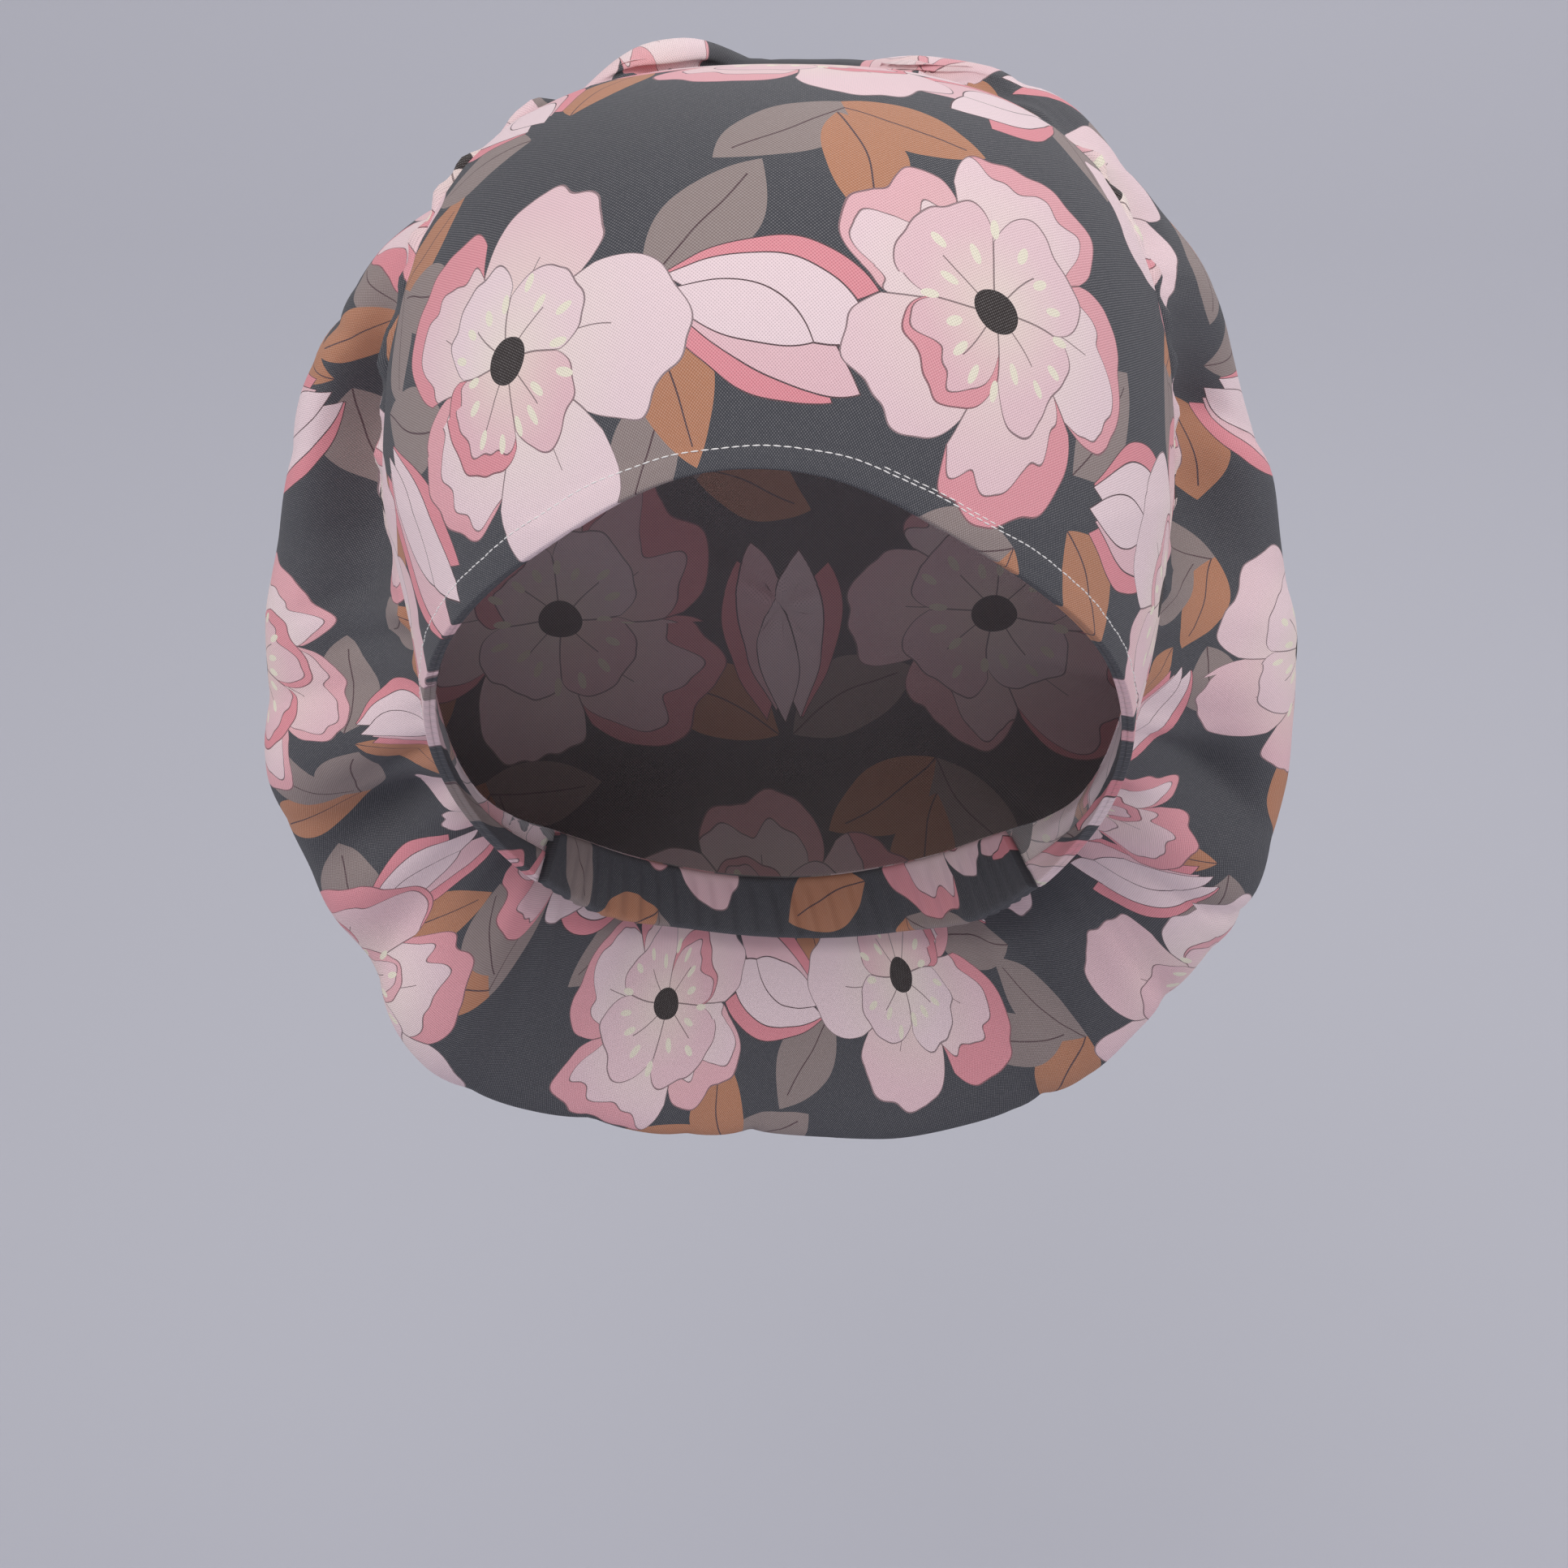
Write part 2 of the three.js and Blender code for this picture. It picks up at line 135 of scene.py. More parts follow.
def share_out(place):
    at = place - HEAD_MIDDLE
    narrowing = 1 + NECK_TAPER * np.minimum(at[..., 2], 0)
    across = np.abs(at[..., 0] / (HEAD_SIDE * narrowing)) ** ROUND_ACROSS
    across = across + np.abs(at[..., 1] / (HEAD_BACK * narrowing)) ** ROUND_ACROSS
    up = np.maximum(at[..., 2], 0) / HEAD_UP
    return (across ** (ROUND_UP / ROUND_ACROSS) + up ** ROUND_UP) ** (1 / ROUND_UP)


def on_head(place):
    way = place - HEAD_MIDDLE
    for _ in range(SOLVE_ROUNDS):
        way = way / share_out(HEAD_MIDDLE + way)[..., None]
    return HEAD_MIDDLE + way


def at_height(turn, height):
    angle = np.radians(turn)
    way = np.stack([np.sin(angle), -np.cos(angle), 0 * angle], -1) * HEAD_SIDE
    way[..., 2] = height - HEAD_MIDDLE[2]
    for _ in range(SOLVE_ROUNDS):
        way[..., :2] = way[..., :2] / share_out(HEAD_MIDDLE + way)[..., None]
    return HEAD_MIDDLE + way


# %% Join the ribs into rings round the cap
def both_sides(points_of):
    right = points_of(RIBS, 1.0)
    left = points_of(RIBS, -1.0)
    return np.concatenate([right, left[-2:0:-1]])


def seam_points(rows, side):
    shares = rows[:, :3] * [side, 1, 1]
    return on_head(HEAD_MIDDLE + shares * [HEAD_SIDE, HEAD_BACK, HEAD_UP])


def hem_points(rows, side):
    drop = BROW_DROP + (NAPE_DROP - BROW_DROP) * rows[:, 4]
    return at_height(side * rows[:, 3] - CAP_TURN, -drop)


def bulge_points(rows, side):
    clock = np.radians(rows[:, 5])
    reach = rows[:, 6] * POUCH_RADIUS
    out = side * reach * np.sin(clock)
    up = reach * np.cos(clock) - POUCH_DROP
    return np.stack([out, rows[:, 7] * POUCH_BACK, up], -1)


def along_ring(points, rib):
    low = np.floor(rib).astype(int)
    part = (rib - low)[..., None]
    a, b, c, d = (points[(low + k) % RIBS_ROUND] for k in (-1, 0, 1, 2))
    bend = 2 * a - 5 * b + 4 * c - d
    twist = 3 * (b - c) + d - a
    return 0.5 * (2 * b + (c - a) * part + bend * part**2 + twist * part**3)


SEAM_RING = both_sides(seam_points)
HEM_RING = both_sides(hem_points)
BULGE_RING = both_sides(bulge_points)
TUCK_RING = both_sides(lambda rows, side: rows[:, 8:9] * [0, TUCK_DEPTH, 0])
print("hem", round(float(np.linalg.norm(HEM_RING - np.roll(HEM_RING, 1, 0), axis=1).sum()), 3), "m round")


# %% Name the two cloth faces
def band(rib, up):
    hem = along_ring(HEM_RING, rib)
    seam = along_ring(SEAM_RING, rib)
    return on_head(hem + (seam - hem) * up[..., None])


def band_length(rib):
    return np.linalg.norm(along_ring(HEM_RING, rib) - along_ring(SEAM_RING, rib), axis=-1)


def smooth_pouch(rib, along):
    bulge = along_ring(BULGE_RING, rib)
    middle = np.array([0, 0, -POUCH_DROP])
    angle = np.clip((along - FRONT_SHARE) / (1 - FRONT_SHARE), 0, 1) * math.pi / 2
    outward = (bulge * [1, 0, 1] - middle) * (np.maximum(np.cos(angle), 0) ** BACK_FULLNESS)[..., None]
    back = outward + middle
    back[..., 1] = bulge[..., 1] + (POUCH_BACK - bulge[..., 1]) * np.sin(angle) ** BACK_FULLNESS
    t = np.clip(along / FRONT_SHARE, 0, 1)[..., None]
    seam = on_head(along_ring(SEAM_RING, rib))
    leave = LEAVE_PULL * (bulge - seam) + along_ring(TUCK_RING, rib)
    arrive = np.stack([0 * rib, ARRIVE_PULL * (POUCH_BACK - bulge[..., 1]), 0 * rib], -1)
    front = (1 + 2 * t) * (1 - t) ** 2 * seam + t * (1 - t) ** 2 * leave
    front = front + t * t * (3 - 2 * t) * bulge + t * t * (t - 1) * arrive
    return np.where(along[..., None] < FRONT_SHARE, front, back)


# %% [markdown]
# ## Folds
# A full back that hangs from a gathered seam has folds of several kinds. A few deep ones give it its
# outline, so they are listed, a row each. The rest are many and no two are alike, so seeded
# random draws place them. Fine gathers start at the seam, run back and die away. Broad drapes, ridges
# less valleys, lie round the back of the bag. Creases are narrow and sharp, as cotton bends, and lie
# mostly at the back too.

# %% List the main folds
# rib, along, width in ribs, length along, rise as a share of the pouch radius
FOLDS = [
    [-0.9, 0.24, 0.7, 0.16, 0.055],
    [-2.1, 0.34, 0.8, 0.30, -0.070],
    [-3.6, 0.40, 0.8, 0.30, -0.020],
    [1.7, 0.34, 0.8, 0.30, 0.040],
    [3.3, 0.20, 0.4, 0.16, -0.045],
    [4.6, 0.30, 0.7, 0.30, -0.030],
    [5.6, 0.16, 0.8, 0.10, -0.080],
    [8.2, 0.24, 0.45, 0.10, -0.060],
    [9.2, 0.36, 0.8, 0.24, 0.035],
    [-5.4, 0.17, 1.3, 0.08, -0.130],
    [-8.8, 0.21, 0.4, 0.11, -0.070],
    [-8.0, 0.30, 0.5, 0.20, 0.025],
    [-9.9, 0.32, 0.4, 0.14, -0.040],
    [-11.0, 0.40, 0.9, 0.30, 0.045],
    [0.0, 0.70, 1.6, 0.20, -0.050],
    [-5.0, 0.72, 1.2, 0.22, -0.040],
    [6.0, 0.70, 1.3, 0.22, -0.045],
    [12.2, 0.66, 0.8, 0.20, -0.050],
    [-12.6, 0.66, 0.8, 0.20, -0.050],
]
FOLD_START = 0.12
GATHER_SEED = 7
GATHERS = 74
GATHER_HEIGHT = 2.8 * MM
GATHER_REACH = 0.16
GATHER_SPREAD = 2.2
DRAPE_SEEDS = (9, 10)
DRAPES = 27
DRAPE_HEIGHT = 9.0 * MM
DRAPE_REACH = 1.0
DRAPE_SPREAD = 0.6
CREASE_SEED = 12
CREASES = 64
CREASE_DEPTH = 7.0 * MM
CREASE_STARTS = (0.0, 0.75)
CREASE_REACHES = (0.10, 0.26)
CREASE_LEANS = (-1.6, 1.6)
CREASE_WIDTHS = (0.12, 0.30)
CREASE_FRONT_SHARE = 0.4


def smooth_step(value, low, high):
    t = np.clip((value - low) / (high - low), 0, 1)
    return t * t * (3 - 2 * t)


def bell(distance, width):
    return np.exp(-((distance / width) ** 2))


def round_distance(rib, centre):
    return (rib - centre + LAST_RIB) % RIBS_ROUND - LAST_RIB


def gathers(rib, along, count, height, reach, seed, spread=GATHER_SPREAD):
    draw = np.random.default_rng(seed)
    centres = (np.arange(count) + draw.uniform(-0.3, 0.3, count)) * RIBS_ROUND / count
    rises = height * draw.uniform(0.35, 1.0, count)
    reaches = reach * draw.uniform(0.4, 1.5, count)
    leans = draw.uniform(-0.5, 0.5, count)
    width = 0.36 * RIBS_ROUND / count
    total = np.zeros(np.broadcast(rib, along).shape)
    for centre, rise, far, lean in zip(centres, rises, reaches, leans):
        offset = round_distance(rib, centre + lean * along)
        total += rise * bell(offset, width * (1 + spread * along)) * np.exp(-along / far)
    return total


def creases(rib, along):
    draw = np.random.default_rng(CREASE_SEED)
    centres = (np.arange(CREASES) + draw.uniform(-0.4, 0.4, CREASES)) * RIBS_ROUND / CREASES
    depths = CREASE_DEPTH * draw.uniform(0.2, 1.0, CREASES) ** 1.5
    starts = draw.uniform(*CREASE_STARTS, CREASES)
    reaches = draw.uniform(*CREASE_REACHES, CREASES)
    leans = draw.uniform(*CREASE_LEANS, CREASES)
    widths = draw.uniform(*CREASE_WIDTHS, CREASES)
    total = np.zeros(rib.shape)
    for centre, depth, start, far, lean, width in zip(centres, depths, starts, reaches, leans, widths):
        offset = round_distance(rib, centre + lean * (along - start))
        total += depth * np.exp(-np.abs(offset) / width) * bell(along - start, far)
    behind = CREASE_FRONT_SHARE + (1 - CREASE_FRONT_SHARE) * smooth_step(along, 0.45, 0.65)
    return total * behind * smooth_step(along, 0, 0.04) * smooth_step(1 - along, 0.05, 0.3)


def pouch_rise(rib, along):
    rise = np.zeros(rib.shape)
    for at, along_at, width, length, share in FOLDS:
        across = bell(round_distance(rib, at), width)
        rise += share * POUCH_RADIUS * across * bell(along - along_at, length)
    rise *= smooth_step(along, 0, FOLD_START)
    fine = gathers(rib, along, GATHERS, GATHER_HEIGHT, GATHER_REACH, GATHER_SEED)
    ridges, valleys = (
        gathers(rib, along, DRAPES, DRAPE_HEIGHT, DRAPE_REACH, seed, DRAPE_SPREAD) for seed in DRAPE_SEEDS
    )
    behind = 0.15 * smooth_step(along, 0.05, 0.3) + 0.85 * smooth_step(along, 0.38, 0.62)
    drape = (ridges - valleys) * behind * smooth_step(1 - along, 0.02, 0.4)
    return rise + fine * smooth_step(along, 0, 0.012) + drape - creases(rib, along)


# %% [markdown]
# ## Cloth walls from a grid
# Each piece is a grid of points with known columns and rows, so it gets square faces that follow the
# pattern lines. A second grid one cloth thickness inside makes the wall, and the open edges are closed
# between them. Where the cloth is folded or sewn its outer face rolls in over the last millimetre, as a
# turned edge does.

# %% Build a wall
def grid_normals(points, wraps):
    across = np.roll(points, -1, 1) - np.roll(points, 1, 1) if wraps else np.gradient(points, axis=1)
    normals = np.cross(across, np.gradient(points, axis=0))
    return normals / np.maximum(np.linalg.norm(normals, axis=-1, keepdims=True), 1e-12)


def head_normal(place):
    slopes = []
    for axis in np.eye(3) * 0.05 * MM:
        slopes.append(share_out(place + axis) - share_out(place - axis))
    normal = np.stack(slopes, -1)
    return normal / np.linalg.norm(normal, axis=-1, keepdims=True)


def roll(distance, radius):
    short = np.clip(1 - distance / radius, 0, 1)
    return radius * (1 - np.sqrt(1 - short**2))


def grid_faces(rows, columns, wraps, first):
    index = first + np.arange(rows * columns).reshape(rows, columns)
    if wraps:
        index = np.concatenate([index, index[:, :1]], 1)
    a, b, c, d = index[:-1, :-1], index[:-1, 1:], index[1:, 1:], index[1:, :-1]
    return np.stack([a, b, c, d], -1).reshape(-1, 4), index


def edge_faces(outer, inner):
    return np.stack([outer[:-1], inner[:-1], inner[1:], outer[1:]], -1)


def fan_faces(ring, pole):
    return np.stack([ring[:-1], ring[1:], np.full(len(ring) - 1, pole)], -1)


def mesh_from(name, places, squares, triangles, spots):
    corners = np.concatenate([squares.ravel(), triangles.ravel()])
    starts = np.concatenate([4 * np.arange(len(squares)), squares.size + 3 * np.arange(len(triangles))])
    mesh = bpy.data.meshes.new(name)
    mesh.vertices.add(len(places))
    mesh.vertices.foreach_set("co", places.ravel())
    mesh.loops.add(len(corners))
    mesh.loops.foreach_set("vertex_index", corners)
    mesh.polygons.add(len(starts))
    mesh.polygons.foreach_set("loop_start", starts)
    mesh.update(calc_edges=True)
    layer = mesh.uv_layers.new(name="pattern")
    layer.uv.foreach_set("vector", spots[corners].astype(np.float32).ravel())
    mesh.polygons.foreach_set("use_smooth", np.ones(len(starts), bool))
    return mesh


def cloth_wall(name, outside, inside, flat, poles=None, flat_pole=None):
    rows, columns = outside.shape[:2]
    count = rows * columns
    wraps = poles is not None
    outer_faces, outer = grid_faces(rows, columns, wraps, 0)
    inner_faces, inner = grid_faces(rows, columns, wraps, count)
    places = [outside.reshape(-1, 3), inside.reshape(-1, 3)]
    spots = [flat.reshape(-1, 2), flat.reshape(-1, 2)]
    edges = [edge_faces(outer[0], inner[0])]
    triangles = np.zeros((0, 3), int)
    if wraps:
        places.append(poles)
        spots += [flat_pole[None], flat_pole[None]]
        outer_fan = fan_faces(outer[-1], 2 * count)
        inner_fan = fan_faces(inner[-1], 2 * count + 1)[:, ::-1]
        triangles = np.concatenate([outer_fan, inner_fan])
    else:
        edges.append(edge_faces(outer[-1], inner[-1])[:, ::-1])
        edges.append(edge_faces(outer[:, 0], inner[:, 0])[:, ::-1])
        edges.append(edge_faces(outer[:, -1], inner[:, -1]))
    squares = np.concatenate([outer_faces, inner_faces[:, ::-1], *edges])
    mesh = mesh_from(name, np.concatenate(places), squares, triangles, np.concatenate(spots))
    reverse = np.zeros(len(mesh.polygons), np.int32)
    reverse[len(outer_faces) : 2 * len(outer_faces)] = 1
    if wraps:
        reverse[-columns:] = 1
    mesh.polygons.foreach_set("material_index", reverse)
    piece = bpy.data.objects.new(name, mesh)
    bpy.context.scene.collection.objects.link(piece)
    print(name, len(mesh.vertices), "points,", len(squares) + len(triangles), "faces")
    return piece


# %% [markdown]
# ## The flat pattern
# A print is made on flat cloth, before the cloth is cut, so its flowers keep one size and run off at a
# seam. To give each piece such a pattern, a coarse copy of its grid is unwrapped with the least
# stretch, turned upright, and brought to true size. The fine grid then reads its places from the coarse
# one.

# %% Flatten a grid
UNWRAP_ROUNDS = 40


def flattened(points, pole=None):
    rows, columns = points.shape[:2]
    squares, index = grid_faces(rows, columns, pole is not None, 0)
    places = points.reshape(-1, 3)
    triangles = np.zeros((0, 3), int)
    if pole is not None:
        triangles = fan_faces(index[-1], rows * columns)
        places = np.concatenate([places, pole[None]])
    mesh = mesh_from("flat pattern", places, squares, triangles, np.zeros((len(places), 2)))
    piece = bpy.data.objects.new("flat pattern", mesh)
    bpy.context.scene.collection.objects.link(piece)
    bpy.context.view_layer.objects.active = piece
    piece.select_set(True)
    bpy.ops.object.mode_set(mode="EDIT")
    bpy.ops.mesh.select_all(action="SELECT")
    bpy.ops.uv.unwrap(method="MINIMUM_STRETCH", iterations=UNWRAP_ROUNDS, margin=0)
    bpy.ops.object.mode_set(mode="OBJECT")
    read = np.empty(len(mesh.loops) * 2, np.float32)
    mesh.uv_layers[0].uv.foreach_get("vector", read)
    corners = np.concatenate([squares.ravel(), triangles.ravel()])
    spots = np.zeros((len(places), 2))
    spots[corners] = read.reshape(-1, 2)
    bpy.data.objects.remove(piece)
    a, b, c, d = (places[squares[:, k]] for k in range(4))
    area = 0.5 * np.linalg.norm(np.cross(c - a, d - b), axis=1).sum()
    a, b, c, d = (spots[squares[:, k]] for k in range(4))
    drawn = 0.5 * np.abs(np.cross(c - a, d - b)).sum()
    spots *= math.sqrt(area / drawn)
    grid = spots[: rows * columns].reshape(rows, columns, 2)
    return grid, spots[-1], area


def upright(low, high):
    sine, cosine = (high - low) / np.linalg.norm(high - low)
    turn = np.array([[cosine, -sine], [sine, cosine]])
    return lambda spots: (spots - low) @ turn.T


def read_grid(coarse, rows_at, columns_at):
    rows_at, columns_at = np.broadcast_arrays(rows_at, columns_at)
    row = np.clip(np.floor(rows_at).astype(int), 0, coarse.shape[0] - 2)
    column = np.clip(np.floor(columns_at).astype(int), 0, coarse.shape[1] - 2)
    r = (rows_at - row)[..., None]
    c = (columns_at - column)[..., None]
    near = coarse[row, column] * (1 - c) + coarse[row, column + 1] * c
    far = coarse[row + 1, column] * (1 - c) + coarse[row + 1, column + 1] * c
    return near * (1 - r) + far * r


# %% [markdown]
# ## Front panel
# The panel is cut to the head, so it lies almost smooth. The gathered back pulls on it along the seam,
# and the turned hem makes it a little thicker below the row of stitches, where the thread also draws a
# small groove.

# %% Make the front panel
PANEL_COLUMNS = 352
PANEL_ROWS = 92
FLAT_STEP = 4
EDGE_STEPS = np.array([0, 0.08, 0.2, 0.38, 0.6]) * MM
EDGE_RADIUS = 0.6 * MM
RIB_WIDTH = 20 * MM
STITCH_HEIGHT = 6.0 * MM
STITCH_PITCH = 1.75 * MM
PULL_HEIGHT = 0.6 * MM
PULL_REACH = 0.09
SLACK_HEIGHT = 1.2 * MM
TURNED_HEIGHT = 0.25 * MM
GROOVE_DEPTH = 0.22 * MM
GROOVE_WIDTH = 0.9 * MM
PUCKERS_PER_RIB = 2.96


def panel_ribs(columns):
    end_gap = SEAM_GAP / band_length(np.array(float(PANEL_END)))
    return np.linspace(-PANEL_END + end_gap, PANEL_END - end_gap, columns + 1)


def edged_rows(length, count):
    low = EDGE_STEPS[:, None]
    high = (length - EDGE_STEPS[::-1, None]) + 0 * low
    share = np.linspace(0, 1, count + 1)[1:-1, None]
    return np.concatenate([low + 0 * length, low[-1] + share * (high[0] - low[-1]), high])


def panel_places(rib, distance):
    length = band_length(rib)
    up = distance / length
    places = band(rib, up)
    normals = head_normal(places)
    pull = gathers(rib, 1 - up, GATHERS, PULL_HEIGHT, PULL_REACH, GATHER_SEED)
    slack = SLACK_HEIGHT * bell(up - 0.7, 0.22) * np.sin(1.1 * rib + 0.6) * smooth_step(np.abs(rib), 1, 5)
    rise = (pull + slack) * smooth_step(1 - up, 0, 0.05) * smooth_step(up, 0.06, 0.3)
    rise = rise + TURNED_HEIGHT * smooth_step(STITCH_HEIGHT + 0.8 * MM - distance, 0, 1.2 * MM)
    pucker = 0.6 + 0.4 * np.sin(2 * math.pi * PUCKERS_PER_RIB * rib)
    rise = rise - GROOVE_DEPTH * pucker * bell(distance - STITCH_HEIGHT, GROOVE_WIDTH)
    return places + normals * rise[..., None], normals


rib = panel_ribs(PANEL_COLUMNS)
length = band_length(rib) - SEAM_GAP
distance = edged_rows(length, PANEL_ROWS)
rib_grid = np.broadcast_to(rib, distance.shape)
panel_faces, normals = panel_places(rib_grid, distance)
ends = np.minimum(rib_grid - rib[0], rib[-1] - rib_grid) * RIB_WIDTH
sunk = np.maximum(roll(distance, EDGE_RADIUS), roll(length - distance, EDGE_RADIUS))
sunk = np.maximum(sunk, roll(ends, EDGE_RADIUS))

coarse_rib = panel_ribs(PANEL_COLUMNS // FLAT_STEP)
coarse_up = np.linspace(0, 1, PANEL_ROWS // FLAT_STEP + 1)[:, None]
coarse = band(np.broadcast_to(coarse_rib, (len(coarse_up), len(coarse_rib))), coarse_up + 0 * coarse_rib)
panel_flat, _, panel_area = flattened(coarse)
middle = len(coarse_rib) // 2
turned = upright(panel_flat[0, middle], panel_flat[-1, middle])
panel_flat = turned(panel_flat)


def panel_spots(rib, distance):
    rows_at = distance / (band_length(rib) - SEAM_GAP) * (len(coarse_up) - 1)
    columns_at = (rib - coarse_rib[0]) / (coarse_rib[1] - coarse_rib[0])
    return read_grid(panel_flat, rows_at, columns_at)


front_panel = cloth_wall(
    "front_panel_cloth",
    panel_faces - normals * sunk[..., None],
    panel_faces - normals * CLOTH_WALL,
    panel_spots(rib_grid, distance),
)

# %% [markdown]
# ## Brow hem
# The edge of the panel is turned in and stitched down. The turned strip lies on the inside of the
# panel, print side out, so its pattern is the panel's own, carried on round the fold. Its lower edge
# rolls to meet the panel's.

# %% Make the brow hem
HEM_END = 0.1
HEM_ROWS = 8
HEM_CLEARANCE = 0.03 * MM

rib = np.linspace(-PANEL_END + HEM_END, PANEL_END - HEM_END, PANEL_COLUMNS + 1)
distance = edged_rows(np.full(len(rib), HEM_HEIGHT), HEM_ROWS)
rib_grid = np.broadcast_to(rib, distance.shape)
hem_faces, normals = panel_places(rib_grid, distance)
hem_out = CLOTH_WALL + HEM_CLEARANCE
hem_sunk = np.maximum(roll(distance, EDGE_RADIUS), roll(HEM_HEIGHT - distance, EDGE_RADIUS))
brow_hem = cloth_wall(
    "brow_hem_cloth",
    hem_faces - normals * hem_out,
    hem_faces - normals * (hem_out + HEM_WALL - hem_sunk)[..., None],
    panel_spots(rib_grid, -distance),
)

# %% [markdown]
# ## Gathered back
# The back is one bag of cloth, gathered to the panel round its open edge. Its shape comes from the
# pattern lines, and the folds, gathers, drapes and creases push it out or in along the surface's own
# direction. Near the seam its wall leans with the panel's, so the two edges meet.

# %% Make the gathered back
POUCH_COLUMNS = 392
POUCH_ROWS = 108
FRONT_ROWS = 0.53
POLE_ALONG = 0.996
SEAM_ROWS = np.array([0, 0.0006, 0.0015, 0.003, 0.005])
OWN_NORMAL_FROM = 0.06


def pouch_rows(count):
    low = SEAM_ROWS[-1]
    front_count = int(FRONT_ROWS * count)
    front = np.linspace(low, FRONT_SHARE, front_count + 1)[1:]
    back = np.linspace(FRONT_SHARE, POLE_ALONG, count - front_count + 1)[1:]
    return np.concatenate([SEAM_ROWS, front, back])


def pouch_places(along, columns):
    rib = np.broadcast_to(np.arange(columns) * RIBS_ROUND / columns, (len(along), columns))
    along = np.broadcast_to(along[:, None], rib.shape)
    smooth = smooth_pouch(rib, along)
    places = smooth + grid_normals(smooth, True) * pouch_rise(rib, along)[..., None]
    own = grid_normals(places, True)
    seam = head_normal(places[:1])
    share = smooth_step(along, 0, OWN_NORMAL_FROM)[..., None]
    normals = seam * (1 - share) + own * share
    return places, normals / np.linalg.norm(normals, axis=-1, keepdims=True)


rows = pouch_rows(POUCH_ROWS)
pouch_faces, normals = pouch_places(rows, POUCH_COLUMNS)
seam_distance = np.linalg.norm(pouch_faces - pouch_faces[:1], axis=-1)
sunk = roll(seam_distance, EDGE_RADIUS)
pole = pouch_faces[-1].mean(0)
pole_normal = np.array([0, 1, 0])

coarse_rows = np.linspace(0, POLE_ALONG, POUCH_ROWS // FLAT_STEP + 1)
coarse, _ = pouch_places(coarse_rows, POUCH_COLUMNS // FLAT_STEP)
pouch_flat, pole_flat, pouch_area = flattened(coarse, pole)
turned = upright(pouch_flat[0, len(pouch_flat[0]) // 2], pouch_flat[0, 0])
pouch_flat, pole_flat = turned(pouch_flat), turned(pole_flat)
around = np.concatenate([pouch_flat, pouch_flat[:, :1]], 1)
rows_at = np.interp(rows, coarse_rows, np.arange(len(coarse_rows)))[:, None]
columns_at = np.arange(POUCH_COLUMNS)[None] / FLAT_STEP

back_pouch = cloth_wall(
    "back_pouch_cloth",
    pouch_faces - normals * sunk[..., None],
    pouch_faces - normals * CLOTH_WALL,
    read_grid(around, rows_at, columns_at),
    poles=np.stack([pole, pole - pole_normal * CLOTH_WALL]),
    flat_pole=pole_flat,
)

# %% [markdown]
# ## Nape casing
# A doubled strip holds the elastic at the nape. Sewn flat and then let go, it draws up into short
# upright ripples, close together and uneven.

# %% Make the nape casing
CASING_COLUMNS = 300
CASING_ROWS = 24
CASING_SEED = 8
CASING_RIPPLES = 30
RIPPLE_HEIGHT = 1.1 * MM
RIPPLE_INSIDE = 0.6
CASING_EDGE = 1.3 * MM
CASING_LENGTH = 0.12
CASING_GATHER_RATIO = 1.7

end_gap = SEAM_GAP / band_length(np.array(float(PANEL_END)))
across = np.linspace(0, 1, CASING_COLUMNS + 1)
rib = PANEL_END + end_gap + across * (RIBS_ROUND - 2 * PANEL_END - 2 * end_gap)
length = band_length(rib) - SEAM_GAP
distance = edged_rows(length, CASING_ROWS)
rib_grid = np.broadcast_to(rib, distance.shape)
places = band(rib_grid, distance / band_length(rib_grid))
normals = head_normal(places)
draw = np.random.default_rng(CASING_SEED)
steps = draw.uniform(0.6, 1.4, CASING_COLUMNS + 1)
phase = np.cumsum(steps) / CASING_COLUMNS * CASING_RIPPLES * 2 * math.pi
depth = np.interp(across, np.linspace(0, 1, CASING_RIPPLES), draw.uniform(0.5, 1.0, CASING_RIPPLES))
held = np.sqrt(np.sin(math.pi * across)) * smooth_step(length - distance, 0, 5 * MM)
ripple = RIPPLE_HEIGHT * held * depth * np.sin(phase)
sunk = np.maximum(roll(distance, CASING_EDGE), roll(length - distance, CASING_EDGE))
nape_casing = cloth_wall(
    "nape_casing_cloth",
    places + normals * (ripple - sunk)[..., None],
    places + normals * (RIPPLE_INSIDE * ripple - CASING_WALL + sunk)[..., None],
    np.stack([across * CASING_GATHER_RATIO * CASING_LENGTH + 0 * distance, distance], -1),
)
print("casing height", (length.min() * 1000).round(1), "to", (length.max() * 1000).round(1), "mm")

# %% [markdown]
# ## Shader sums
# A print is a long chain of small sums. Wrapping a socket in one small class lets those sums be written
# as ordinary Python, with each operator adding its node.

